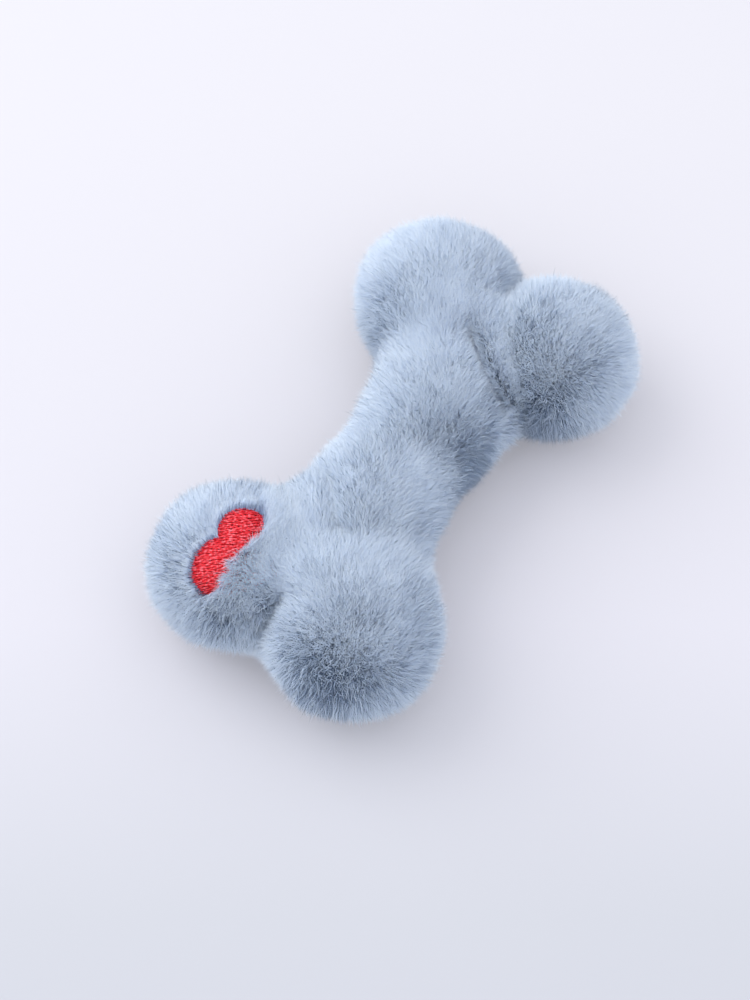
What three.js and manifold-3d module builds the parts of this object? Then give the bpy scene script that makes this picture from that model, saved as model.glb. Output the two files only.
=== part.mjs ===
// A squeaky plush dog bone. Two long-pile panels are sewn round their edge and turned, four
// end lobes and a waisted shaft are stuffed with fibre, a heart is stitched on one lobe, and
// a small oval squeaker with its reed sits in the middle of the shaft.
// Millimetres, +Z up, +X along the bone. The origin is on the floor under its middle.

import * as THREE from "three";
import { mergeVertices } from "three/addons/utils/BufferGeometryUtils.js";
import Module from "manifold-3d";

// The bone over the tips of its pile
const LOBE_RADIUS = 28.5;
const LOBE_HALF_HEIGHT = 24;
const LOBE_X = 61.5; // from the middle of the bone to a lobe's centre
const LOBE_Y = 22.5;
const FLOOR_FLAT = 0.5; // how much of the lowest pile the floor flattens
const WAIST_HALF_WIDTH = 22.5;
const WAIST_HALF_HEIGHT = 19.5;
const SHOULDER_X = 60; // where the shaft is widest, between two lobes
const SHOULDER_HALF_WIDTH = 31;
const SHOULDER_HALF_HEIGHT = 20.5;
const CLEFT_X = 78; // the bottom of the cleft at each end
const SHAFT_Y = -2; // the stuffing bulges to one side, more so at the heart end
const SHAFT_TURN_DEGREES = 1.7;

// Creases in the upper side, where one swelling of the stuffing leans against the next. Each
// way is seen from above, in shares of SHOULDER_X and SHOULDER_HALF_WIDTH.
const PLAIN_CREASE_DEPTH = 5.5;
const PLAIN_CREASE_HALF_WIDTH = 6;
const PLAIN_CREASE_SHARES = [[0.76, 0.04], [0.64, -0.22], [0.58, -0.39], [0.53, -0.59], [0.46, -0.79]];
const HEART_CREASE_DEPTH = 3;
const HEART_CREASE_HALF_WIDTH = 5;
const HEART_CREASE_SHARES = [[-0.4, 0.3], [-0.5, 0.14], [-0.62, 0], [-0.7, -0.16]];
const CREASE_END_SHARE = 0.3; // of its depth, at each end

// The cover
const PILE = 8;
const CLOTH = 0.9;
const SEAM_ALLOWANCE = 4; // cloth turned back against the wall on each side of the seam
const SEAM_GAP = 0.3; // between the two panels
const THREAD = 0.5;
const CLOSING_HALF_LENGTH = 20; // the opening that the bone is turned and stuffed through
const CLOSING_STITCH = 4; // length of one ladder stitch
const CLOSING_RISE = 1.1; // how far a ladder stitch reaches past the seam
const CLEARANCE = 0.3; // between any two neighbouring pieces

// The stitched heart, and the backing sheet behind it
const HEART_WIDTH = 32;
const HEART_HEIGHT = 26;
const HEART_FROM_LOBE_X = -2;
const HEART_FROM_LOBE_Y = -5;
const HEART_OVER_SEAM = 7; // the stitching stays this far above the seam
const STITCH_HEIGHT = 1.4;
const PILE_PARTING = 0.8; // bare cloth round the stitching
const CLIPPED_WIDTH = 3; // round it the pile is clipped shorter
const CLIPPED_DEPTH = 2.6;
const BACKING = 0.4;

// The squeaker's bladder, an oval with its long way along the bone
const BLADDER_HALF_LENGTH = 16;
const STUFFING_BESIDE = 2.6; // the thinnest stuffing between bladder and cover
const STUFFING_OVER = 2.3;
const BLADDER_ROUNDING = 3.8; // from its side in to its flat top or bottom
const BLADDER_WALL = 0.8;
const BELLOWS_SHARE = 0.5; // of its height; the rest is the crown's and the base's
const BELLOWS_FOLD = 1.3; // how far the pleat goes in

// The reed insert
const REED_FIT = 0.15;
const BARREL_RADIUS = 3.5;
const BARREL_BORE = 2.7;
const BARREL_LENGTH = 6.9;
const FLANGE_RADIUS = 4.6;
const FLANGE_THICKNESS = 0.8;
const AIR_HOLE_RADIUS = 1.4;
const BARREL_FLOOR = 0.6;
const SEAT_LENGTH = 5.5;
const CLAMP_LENGTH = 1.75;
const TONGUE_WIDTH = 2.6;
const TONGUE_THICKNESS = 0.2;
const TONGUE_LENGTH = 4.8;
const SLOT_WIDTH = 1.6;
const SLOT_DEPTH = 1;
const SLOT_LENGTH = 4.6;

// Facets
const COVER_SIDES = 24;
const LINING_SIDES = 16; // the stuffing has as many, so that it follows the lining
const SHOULDER_STEPS = 5;
const CLEFT_STEPS = 3;
const BLADDER_SIDES = 24;
const CAP_STEPS = 4;
const BARREL_SIDES = 20;
const HEART_STEPS = 4;
const THREAD_SIDES = 6;

const OVERRUN = 5; // how far a cutting solid runs past what it cuts
const SEAM_Z = LOBE_HALF_HEIGHT - FLOOR_FLAT;
const TOP_Z = SEAM_Z + LOBE_HALF_HEIGHT;
const FIELD = 2 * (LOBE_X + LOBE_RADIUS + OVERRUN); // a square wider than the bone

// Depths under the pile's tips
const CLOTH_FACE = PILE;
const CLOTH_BACK = CLOTH_FACE + CLOTH;
const ALLOWANCE_BACK = CLOTH_BACK + CLOTH;
const THREAD_FACE = ALLOWANCE_BACK + CLEARANCE;
const THREAD_BACK = THREAD_FACE + THREAD;
const BACKING_FACE = CLOTH_BACK + CLEARANCE;
const BACKING_BACK = BACKING_FACE + BACKING;
const FILL_FACE = CLOTH_BACK + CLEARANCE;
const FILL_AT_SEAM = THREAD_BACK + CLEARANCE;

const BLADDER_HALF_WIDTH = WAIST_HALF_WIDTH - FILL_AT_SEAM - STUFFING_BESIDE;
const BLADDER_HALF_HEIGHT = WAIST_HALF_HEIGHT - FILL_FACE - STUFFING_OVER;
const BELLOWS_HEIGHT = 2 * BLADDER_HALF_HEIGHT * BELLOWS_SHARE;

const wasm = await Module();
wasm.setup();

// Solids

function solid(geometry) {
  const bare = geometry.clone();
  bare.deleteAttribute("normal");
  bare.deleteAttribute("uv");
  const merged = mergeVertices(bare);
  const mesh = { numProp: 3, vertProperties: merged.attributes.position.array };
  return new wasm.Manifold(new wasm.Mesh({ ...mesh, triVerts: new Uint32Array(merged.index.array) }));
}

function geometryOf(body) {
  const { vertProperties, triVerts } = body.getMesh();
  const geometry = new THREE.BufferGeometry();
  geometry.setAttribute("position", new THREE.BufferAttribute(vertProperties, 3));
  geometry.setIndex(new THREE.BufferAttribute(triVerts, 1));
  geometry.computeVertexNormals();
  return geometry;
}

function slab(low, high) {
  const box = new THREE.BoxGeometry(FIELD, FIELD, high - low);
  return solid(box.translate(0, 0, (low + high) / 2));
}

function cylinder(radius, low, high, sides) {
  const rod = new THREE.CylinderGeometry(radius, radius, high - low, sides);
  return solid(rod.rotateX(Math.PI / 2).translate(0, 0, (low + high) / 2));
}

// A lathe about +Z. The profile's points are [radius, z] pairs, from low to high on the outside.
function turned(profile, sides) {
  const points = profile.map(([radius, z]) => new THREE.Vector2(radius, z));
  return new THREE.LatheGeometry(points, sides).rotateX(Math.PI / 2);
}

// The bone's form, at any depth under the tips of its pile

function between(waist, shoulder, x) {
  return waist + (shoulder - waist) * THREE.MathUtils.smoothstep(Math.abs(x), 0, SHOULDER_X);
}

function shaftHalfWidth(x) {
  return between(WAIST_HALF_WIDTH, SHOULDER_HALF_WIDTH, x);
}

function shaftHalfHeight(x) {
  return between(WAIST_HALF_HEIGHT, SHOULDER_HALF_HEIGHT, x);
}

// Half of the shaft's outline. Past the shoulder it rounds off into the cleft.
function shaftOutline(depth) {
  const points = [];
  for (let i = 0; i <= SHOULDER_STEPS; i++) {
    const x = (SHOULDER_X * i) / SHOULDER_STEPS;
    points.push([shaftHalfWidth(x) - depth, x]);
  }
  const [shoulder] = points.at(-1);
  for (let i = 1; i < CLEFT_STEPS; i++) {
    const turn = (Math.PI / 2) * (i / CLEFT_STEPS);
    const x = SHOULDER_X + (CLEFT_X - depth - SHOULDER_X) * Math.sin(turn);
    points.push([shoulder * Math.cos(turn), x]);
  }
  return [...points, [0, CLEFT_X - depth]];
}

function shaftForm(depth, sides) {
  const half = shaftOutline(depth);
  const otherHalf = half.slice(1).map(([radius, x]) => [radius, -x]);
  const geometry = turned([...otherHalf.reverse(), ...half], sides).rotateY(Math.PI / 2);
  const places = geometry.attributes.position;
  for (let i = 0; i < places.count; i++) {
    const x = places.getX(i);
    const flatness = (shaftHalfHeight(x) - depth) / (shaftHalfWidth(x) - depth);
    places.setZ(i, places.getZ(i) * flatness);
  }
  return solid(placedShaft(geometry));
}

function placedShaft(geometry) {
  const turn = THREE.MathUtils.degToRad(SHAFT_TURN_DEGREES);
  return geometry.rotateZ(turn).translate(0, SHAFT_Y, SEAM_Z);
}

function lobeForm(depth, sides, toX, toY) {
  const ball = new THREE.SphereGeometry(1, sides, sides / 2).rotateX(Math.PI / 2);
  ball.scale(LOBE_RADIUS - depth, LOBE_RADIUS - depth, LOBE_HALF_HEIGHT - depth);
  return solid(ball.translate(toX * LOBE_X, toY * LOBE_Y, SEAM_Z));
}

const LOBES = [
  { name: "heart_end_left", toX: -1, toY: 1 },
  { name: "heart_end_right", toX: -1, toY: -1 },
  { name: "plain_end_left", toX: 1, toY: 1 },
  { name: "plain_end_right", toX: 1, toY: -1 },
];

function boneForm(depth, sides) {
  const lobes = LOBES.map(({ toX, toY }) => lobeForm(depth, sides, toX, toY));
  return lobes.reduce((body, lobe) => body.add(lobe), shaftForm(depth, sides));
}

// How high a round body with this half height stands, at a share of the way out to its edge
function domeHeight(halfHeight, share) {
  return halfHeight * Math.sqrt(Math.max(0, 1 - share * share));
}

// How high the pile's tips stand over a place on the floor
function tipsOver(x, y) {
  const middle = new THREE.Vector2(0, SHAFT_Y);
  const place = new THREE.Vector2(x, y).rotateAround(middle, -THREE.MathUtils.degToRad(SHAFT_TURN_DEGREES));
  const aside = (place.y - SHAFT_Y) / shaftHalfWidth(place.x);
  const heights = LOBES.map(({ toX, toY }) => {
    const out = Math.hypot(x - toX * LOBE_X, y - toY * LOBE_Y);
    return domeHeight(LOBE_HALF_HEIGHT, out / LOBE_RADIUS);
  });
  return SEAM_Z + Math.max(domeHeight(shaftHalfHeight(place.x), aside), ...heights);
}

// A wedge along a crease, with its edge down in the pile and its back over the tips
function creaseWedge(shares, depth, halfWidth) {
  const way = shares.map(([x, y]) => new THREE.Vector2(x * SHOULDER_X, y * SHOULDER_HALF_WIDTH));
  const last = way.length - 1;
  const places = way.flatMap((place, i) => {
    const ahead = way[Math.min(i + 1, last)].clone().sub(way[Math.max(i - 1, 0)]).normalize();
    const aside = new THREE.Vector2(-ahead.y, ahead.x).multiplyScalar(halfWidth * (1 + OVERRUN / depth));
    const tips = tipsOver(place.x, place.y);
    const edge = tips - depth * (i === 0 || i === last ? CREASE_END_SHARE : 1);
    const left = [place.x + aside.x, place.y + aside.y, tips + OVERRUN];
    const right = [place.x - aside.x, place.y - aside.y, tips + OVERRUN];
    return [...left, place.x, place.y, edge, ...right];
  });
  // A triangle at each end, and three long sides from each step of the way to the next
  const index = [0, 1, 2, 3 * last + 2, 3 * last + 1, 3 * last];
  for (let a = 0; a < 3 * last; a++) {
    const b = a % 3 === 2 ? a - 2 : a + 1;
    index.push(a + 3, b + 3, a, b + 3, b, a);
  }
  const geometry = new THREE.BufferGeometry();
  geometry.setAttribute("position", new THREE.Float32BufferAttribute(places, 3));
  geometry.setIndex(index);
  return solid(geometry);
}

// The heart's outline as shares of its width and height. Its top faces +Y.
const HEART_CURVE_SHARES = [
  [0.12, -0.38, 0.5, -0.12, 0.5, 0.18],
  [0.5, 0.4, 0.38, 0.5, 0.25, 0.5],
  [0.12, 0.5, 0.03, 0.45, 0, 0.36],
];
const HEART_TIP_SHARE = -0.5;

function heartShape(margin) {
  const width = HEART_WIDTH + 2 * margin;
  const height = HEART_HEIGHT + 2 * margin;
  const shape = new THREE.Shape();
  shape.moveTo(0, HEART_TIP_SHARE * height);
  for (const [ax, ay, bx, by, cx, cy] of HEART_CURVE_SHARES) {
    shape.bezierCurveTo(ax * width, ay * height, bx * width, by * height, cx * width, cy * height);
  }
  const starts = [[0, HEART_TIP_SHARE], ...HEART_CURVE_SHARES.map((curve) => curve.slice(4))];
  for (let i = HEART_CURVE_SHARES.length - 1; i >= 0; i--) {
    const [ax, ay, bx, by] = HEART_CURVE_SHARES[i];
    const [x, y] = starts[i];
    shape.bezierCurveTo(-bx * width, by * height, -ax * width, ay * height, -x * width, y * height);
  }
  return shape;
}

// A heart-shaped post through the lobe's top
function heartPost(margin) {
  const low = SEAM_Z + HEART_OVER_SEAM;
  const depth = TOP_Z + OVERRUN - low;
  const options = { depth, bevelEnabled: false, curveSegments: HEART_STEPS };
  const post = new THREE.ExtrudeGeometry(heartShape(margin), options);
  return solid(post.translate(-LOBE_X + HEART_FROM_LOBE_X, LOBE_Y + HEART_FROM_LOBE_Y, low));
}

// The cover

const seamBand = slab(SEAM_Z - SEAM_ALLOWANCE, SEAM_Z + SEAM_ALLOWANCE);
const lining = boneForm(CLOTH_BACK, LINING_SIDES).subtract(seamBand);
const hollow = lining.add(boneForm(ALLOWANCE_BACK, LINING_SIDES));
const overPile = boneForm(0, COVER_SIDES)
  .subtract(creaseWedge(PLAIN_CREASE_SHARES, PLAIN_CREASE_DEPTH, PLAIN_CREASE_HALF_WIDTH))
  .subtract(creaseWedge(HEART_CREASE_SHARES, HEART_CREASE_DEPTH, HEART_CREASE_HALF_WIDTH));

function panel(low, high) {
  return overPile.intersect(slab(low, high)).subtract(hollow);
}

function topPanel() {
  const heartWell = heartPost(PILE_PARTING).subtract(boneForm(CLOTH_FACE, COVER_SIDES));
  const clipped = heartPost(CLIPPED_WIDTH).subtract(boneForm(CLIPPED_DEPTH, COVER_SIDES));
  return panel(SEAM_Z + SEAM_GAP / 2, TOP_Z + OVERRUN).subtract(heartWell).subtract(clipped);
}

function bottomPanel() {
  return panel(0, SEAM_Z - SEAM_GAP / 2);
}

function heartStitching() {
  const under = CLOTH_FACE - CLEARANCE;
  const over = boneForm(under - STITCH_HEIGHT, COVER_SIDES);
  return heartPost(0).intersect(over).subtract(boneForm(under, COVER_SIDES));
}

function heartBacking() {
  const sheet = boneForm(BACKING_FACE, LINING_SIDES).subtract(boneForm(BACKING_BACK, LINING_SIDES));
  return sheet.intersect(heartPost(0));
}

// One thread of the lockstitched seam. It stops at each end of the opening.
function seamThread(low) {
  const ring = boneForm(THREAD_FACE, LINING_SIDES).subtract(boneForm(THREAD_BACK, LINING_SIDES));
  const opening = new THREE.BoxGeometry(2 * CLOSING_HALF_LENGTH, FIELD, FIELD);
  opening.translate(0, -FIELD / 2, SEAM_Z);
  return ring.intersect(slab(low, low + THREAD)).subtract(solid(opening));
}

// The ladder stitch that closes the opening, crossing the seam at each step
function closingThread() {
  const reach = CLOSING_HALF_LENGTH - CLEARANCE - THREAD;
  const stitches = 2 * Math.floor(reach / CLOSING_STITCH);
  const points = [];
  for (let i = 0; i <= stitches; i++) {
    const x = reach * ((2 * i) / stitches - 1);
    const y = -(shaftHalfWidth(x) - (THREAD_FACE + THREAD_BACK) / 2 - CLEARANCE / 2);
    points.push(new THREE.Vector3(x, y, i % 2 ? CLOSING_RISE : -CLOSING_RISE));
  }
  const section = new THREE.Shape().absarc(0, 0, THREAD / 2, 0, 2 * Math.PI);
  const thread = new THREE.ExtrudeGeometry(section, {
    steps: 4 * stitches,
    curveSegments: THREAD_SIDES / 2,
    extrudePath: new THREE.CatmullRomCurve3(points),
  });
  return placedShaft(thread);
}

// The stuffing. It stands clear of the seam, its threads and the heart's backing.

const seamGroove = slab(SEAM_Z - SEAM_ALLOWANCE - CLEARANCE, SEAM_Z + SEAM_ALLOWANCE + CLEARANCE);
const backingRoom = heartPost(CLEARANCE).subtract(boneForm(BACKING_BACK + CLEARANCE, LINING_SIDES));

function lobeFill({ toX, toY }) {
  const ball = lobeForm(FILL_FACE, LINING_SIDES, toX, toY).subtract(seamGroove);
  return ball.add(lobeForm(FILL_AT_SEAM, LINING_SIDES, toX, toY)).subtract(backingRoom);
}

function shaftFill(low, high) {
  const around = shaftForm(FILL_FACE, LINING_SIDES).subtract(seamGroove);
  let wad = around.add(shaftForm(FILL_AT_SEAM, LINING_SIDES));
  for (const { toX, toY } of LOBES) {
    wad = wad.subtract(lobeForm(FILL_FACE - CLEARANCE, LINING_SIDES, toX, toY));
  }
  const rest = wad.intersect(slab(low, high)).subtract(squeakerRoom()).subtract(backingRoom);
  // The lobes cut crumbs off its ends, in the clefts. They go.
  const lumps = rest.decompose().sort((a, b) => b.volume() - a.volume());
  return lumps[0];
}

// The squeaker, in its own frame: its middle is the origin

const OVAL = BLADDER_HALF_LENGTH / BLADDER_HALF_WIDTH;
const CAP_HEIGHT = BLADDER_HALF_HEIGHT - BELLOWS_HEIGHT / 2;

// The outer or inner curve of a cap, from its rim to its flat top
function capCurve(inward) {
  const points = [];
  for (let i = 0; i <= CAP_STEPS; i++) {
    const turn = (Math.PI / 2) * (i / CAP_STEPS);
    const radius = BLADDER_HALF_WIDTH - BLADDER_ROUNDING * (1 - Math.cos(turn)) - inward;
    points.push([radius, BELLOWS_HEIGHT / 2 + (CAP_HEIGHT - inward) * Math.sin(turn)]);
  }
  return points;
}

function capGeometry() {
  const outer = capCurve(0);
  const inner = capCurve(BLADDER_WALL);
  const profile = [...outer, [0, BLADDER_HALF_HEIGHT], [0, BLADDER_HALF_HEIGHT - BLADDER_WALL]];
  const geometry = turned([[inner[0][0], inner[0][1]], ...profile, ...inner.reverse()], BLADDER_SIDES);
  return geometry.scale(OVAL, 1, 1);
}

function crown() {
  return capGeometry();
}

// The crown's twin, turned over, with a round hole for the reed's barrel
function base() {
  const cup = solid(capGeometry().rotateX(Math.PI));
  const hole = BARREL_RADIUS + REED_FIT;
  return cup.subtract(cylinder(hole, -BLADDER_HALF_HEIGHT - OVERRUN, 0, BARREL_SIDES));
}

function bellows() {
  const end = BELLOWS_HEIGHT / 2 - CLEARANCE / 2;
  const fold = BLADDER_HALF_WIDTH - BELLOWS_FOLD;
  const rim = BLADDER_HALF_WIDTH;
  const inside = [[rim - BLADDER_WALL, end], [fold - BLADDER_WALL, 0], [rim - BLADDER_WALL, -end]];
  const profile = [[rim, -end], [fold, 0], [rim, end], ...inside, [rim, -end]];
  return turned(profile, BLADDER_SIDES).scale(OVAL, 1, 1);
}

// The room in the stuffing for the squeaker and the flange under it
function squeakerRoom() {
  const grown = capCurve(-CLEARANCE);
  const upper = [...grown, [0, BLADDER_HALF_HEIGHT + CLEARANCE]];
  const lower = upper.map(([radius, z]) => [radius, -z]).reverse();
  const room = solid(turned([...lower, ...upper], BLADDER_SIDES).scale(OVAL, 1, 1));
  const flangeRoom = cylinder(
    FLANGE_RADIUS + CLEARANCE, FLANGE_LOW - CLEARANCE, -BLADDER_HALF_HEIGHT + OVERRUN, BARREL_SIDES);
  return room.add(flangeRoom).translate([0, SHAFT_Y, SEAM_Z]);
}

// The reed insert stands in the base, with its flange against the outside
const FLANGE_HIGH = -BLADDER_HALF_HEIGHT - REED_FIT;
const FLANGE_LOW = FLANGE_HIGH - FLANGE_THICKNESS;
const CORE_LOW = FLANGE_LOW + BARREL_FLOOR + REED_FIT;
const CORE_RADIUS = BARREL_BORE - REED_FIT;
const REED_PLANE = TONGUE_THICKNESS / 2 + REED_FIT; // from the tongue's middle to the seat

function barrel() {
  const high = FLANGE_LOW + BARREL_LENGTH;
  const floor = FLANGE_LOW + BARREL_FLOOR;
  const outside = [[FLANGE_RADIUS, FLANGE_LOW], [FLANGE_RADIUS, FLANGE_HIGH], [BARREL_RADIUS, FLANGE_HIGH]];
  const inside = [[BARREL_BORE, high], [BARREL_BORE, floor], [AIR_HOLE_RADIUS, floor]];
  const start = [AIR_HOLE_RADIUS, FLANGE_LOW];
  return turned([start, ...outside, [BARREL_RADIUS, high], ...inside, start], BARREL_SIDES);
}

// The part of the barrel's core on one side of the reed, as a D-shaped block
function halfCore(side, length) {
  const core = cylinder(CORE_RADIUS, CORE_LOW, CORE_LOW + length, BARREL_SIDES);
  const half = new THREE.BoxGeometry(FIELD, FIELD, FIELD);
  return core.intersect(solid(half.translate(0, side * (FIELD / 2 + REED_PLANE), 0)));
}

// The slot under the tongue lets the air through. It is closed at the tongue's free end.
function seat() {
  const slot = new THREE.BoxGeometry(SLOT_WIDTH, 2 * SLOT_DEPTH, SLOT_LENGTH + OVERRUN);
  slot.translate(0, -REED_PLANE, CORE_LOW + (SLOT_LENGTH - OVERRUN) / 2);
  return halfCore(-1, SEAT_LENGTH).subtract(solid(slot));
}

function clamp() {
  return halfCore(1, CLAMP_LENGTH);
}

function tongue() {
  const strip = new THREE.BoxGeometry(TONGUE_WIDTH, TONGUE_THICKNESS, TONGUE_LENGTH);
  return strip.translate(0, 0, CORE_LOW + REED_FIT + TONGUE_LENGTH / 2);
}

// Materials

const pileCloth = new THREE.MeshStandardMaterial({ color: 0xa9bbd3, roughness: 0.95, metalness: 0 });
const heartThread = new THREE.MeshStandardMaterial({ color: 0xd8323f, roughness: 0.5, metalness: 0 });
const backingSheet = new THREE.MeshStandardMaterial({ color: 0xf1f1ee, roughness: 0.9, metalness: 0 });
const sewingThread = new THREE.MeshStandardMaterial({ color: 0x8fa3bd, roughness: 0.7, metalness: 0 });
const fibreFill = new THREE.MeshStandardMaterial({ color: 0xf4f4f2, roughness: 1, metalness: 0 });
const bladderPlastic = new THREE.MeshStandardMaterial({ color: 0xe9ecec, roughness: 0.45, metalness: 0 });
const reedPlastic = new THREE.MeshStandardMaterial({ color: 0xf0efe6, roughness: 0.35, metalness: 0 });
const reedBrass = new THREE.MeshStandardMaterial({ color: 0xc9a24d, roughness: 0.3, metalness: 1 });

// The assembly

function named(name, shape, material) {
  const geometry = shape.isBufferGeometry ? shape : geometryOf(shape);
  const mesh = new THREE.Mesh(geometry, material);
  mesh.name = name;
  return mesh;
}

const cover = new THREE.Group().add(
  named("top_panel", topPanel(), pileCloth),
  named("bottom_panel", bottomPanel(), pileCloth),
  named("heart_embroidery", heartStitching(), heartThread),
  named("heart_backing", heartBacking(), backingSheet),
  named("seam_needle_thread", seamThread(SEAM_Z + CLEARANCE), sewingThread),
  named("seam_bobbin_thread", seamThread(SEAM_Z - CLEARANCE - THREAD), sewingThread),
  named("closing_thread", closingThread(), sewingThread),
);

const stuffing = new THREE.Group().add(
  named("shaft_fill_upper", shaftFill(SEAM_Z + CLEARANCE / 2, TOP_Z), fibreFill),
  named("shaft_fill_lower", shaftFill(0, SEAM_Z - CLEARANCE / 2), fibreFill),
);
for (const lobe of LOBES) {
  stuffing.add(named("lobe_fill_" + lobe.name, lobeFill(lobe), fibreFill));
}

const reed = new THREE.Group().add(
  named("reed_barrel", barrel(), reedPlastic),
  named("reed_seat", seat(), reedPlastic),
  named("reed_clamp", clamp(), reedPlastic),
  named("reed_tongue", tongue(), reedBrass),
);

const squeaker = new THREE.Group().add(
  named("squeaker_crown", crown(), bladderPlastic),
  named("squeaker_bellows", bellows(), bladderPlastic),
  named("squeaker_base", base(), bladderPlastic),
  reed,
);
squeaker.position.set(0, SHAFT_Y, SEAM_Z);

export default new THREE.Group().add(cover, stuffing, squeaker);
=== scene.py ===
import math

import bmesh
import bpy
import numpy as np
from mathutils import Matrix, Vector
from mathutils.bvhtree import BVHTree
from mathutils.kdtree import KDTree


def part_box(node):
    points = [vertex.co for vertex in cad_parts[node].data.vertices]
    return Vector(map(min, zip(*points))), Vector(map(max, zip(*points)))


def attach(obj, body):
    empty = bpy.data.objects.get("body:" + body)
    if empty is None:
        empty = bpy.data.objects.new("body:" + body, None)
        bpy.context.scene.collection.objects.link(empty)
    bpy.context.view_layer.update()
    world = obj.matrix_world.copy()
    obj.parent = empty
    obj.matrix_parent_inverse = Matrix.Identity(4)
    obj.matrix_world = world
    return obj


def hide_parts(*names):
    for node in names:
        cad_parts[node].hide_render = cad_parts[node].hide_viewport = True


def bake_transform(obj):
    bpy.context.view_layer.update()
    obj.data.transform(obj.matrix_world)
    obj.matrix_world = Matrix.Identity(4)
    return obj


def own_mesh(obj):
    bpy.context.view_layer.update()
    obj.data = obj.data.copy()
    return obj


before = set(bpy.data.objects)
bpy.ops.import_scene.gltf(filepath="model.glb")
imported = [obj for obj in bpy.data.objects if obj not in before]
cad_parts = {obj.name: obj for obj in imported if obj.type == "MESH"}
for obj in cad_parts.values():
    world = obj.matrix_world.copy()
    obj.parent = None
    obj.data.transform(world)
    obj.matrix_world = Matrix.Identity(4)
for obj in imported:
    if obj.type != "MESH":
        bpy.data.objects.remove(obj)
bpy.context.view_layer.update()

# A squeaky plush dog bone with long blue-grey pile and a red stitched heart.
# Metres, +Z up, +X along the bone, the floor at z = 0.


# Camera. A short telephoto looks down on the bone from its heart end, so that the bone
# runs from the picture's lower left to its upper right.

MM = 0.001
CAMERA_AZIMUTH = math.radians(-57.24)
CAMERA_ELEVATION = math.radians(60.15)
CAMERA_DISTANCE = 869.8 * MM
CAMERA_TARGET = Vector((-17.1, -2.1, 24)) * MM
LENS_MM = 96
SENSOR_MM = 36
NEAREST_SEEN = 50 * MM
FURTHEST_SEEN = 20

to_camera = Vector((
    math.sin(CAMERA_AZIMUTH) * math.cos(CAMERA_ELEVATION),
    -math.cos(CAMERA_AZIMUTH) * math.cos(CAMERA_ELEVATION),
    math.sin(CAMERA_ELEVATION),
))
camera_data = bpy.data.cameras.new("camera")
camera_data.lens = LENS_MM
camera_data.sensor_width = SENSOR_MM
camera_data.clip_start = NEAREST_SEEN
camera_data.clip_end = FURTHEST_SEEN
camera = bpy.data.objects.new("camera", camera_data)
camera.location = CAMERA_TARGET + to_camera * CAMERA_DISTANCE
camera.rotation_mode = "QUATERNION"
camera.rotation_quaternion = to_camera.to_track_quat("Z", "Y")
bpy.context.scene.collection.objects.link(camera)
bpy.context.scene.camera = camera


# Cloth. The knitted ground that the pile grows from: two panels, sewn together round their
# edge and stuffed tight. Each is cut in two here at the middle of the bone.

LOBE_RADIUS = 28.5 * MM  # this and the sizes down to CLEFT_X are over the tips of the pile
LOBE_HALF_HEIGHT = 24 * MM
LOBE_X = 61.5 * MM
LOBE_Y = 22.5 * MM
SEAM_Z = 23.5 * MM
SHAFT_Y = -2 * MM
SHAFT_TURN = math.radians(1.7)
WAIST_HALF_WIDTH = 22.5 * MM
WAIST_HALF_HEIGHT = 19.5 * MM
SHOULDER_X = 60 * MM
SHOULDER_HALF_WIDTH = 31 * MM
SHOULDER_HALF_HEIGHT = 20.5 * MM
CLEFT_X = 78 * MM
# How far the stuffing runs over from the shaft into each lobe, by the signs of its X and Y
RUNS_OVER = {(-1, -1): 16 * MM, (-1, 1): 9 * MM, (1, -1): 4 * MM, (1, 1): 17 * MM}
# Creases in the upper side: the way that each takes from above, its depth and half width
CREASES = (
    (((45.5, 1), (38.4, -6.8), (34.8, -12.1), (31.8, -18.3), (27.6, -24.5)), 7 * MM, 4 * MM),
    (((-24, 9), (-30, 4.5), (-37, 0), (-42, -5)), 3 * MM, 4 * MM),
    (((64, -1), (74, 1), (86, 4)), 4 * MM, 4.5 * MM),
    (((-68, -2), (-88, -3)), 4 * MM, 4.5 * MM),
)
CREASE_RUNS_OUT = 4 * MM  # over this height above the seam
GROUND_DEPTH = 7.5 * MM  # of the cloth under those tips
CLOTH = 0.9 * MM
SHAFT_RINGS = 61
SHAFT_SIDES = 64
LAST_RING_SHARE = 0.999  # short of the shaft's end, where its width is nothing
LOBE_SUBDIVISIONS = 5
VOXEL = 1.3 * MM
STEPS_TO_SURFACE = 8
PROBE = VOXEL / 4  # how far to each side a surface's slope is felt
SMALL = 1e-9
ENDS = {"heart_end": -1, "plain_end": 1}
MIDDLE = (0, 0, SEAM_Z)


def linear(red, green, blue):
    """An sRGB colour from 0 to 255 as linear RGBA."""
    shares = [value / 255 for value in (red, green, blue)]
    curve = [s / 12.92 if s <= 0.04045 else ((s + 0.055) / 1.055) ** 2.4 for s in shares]
    return (*curve, 1)


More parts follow.
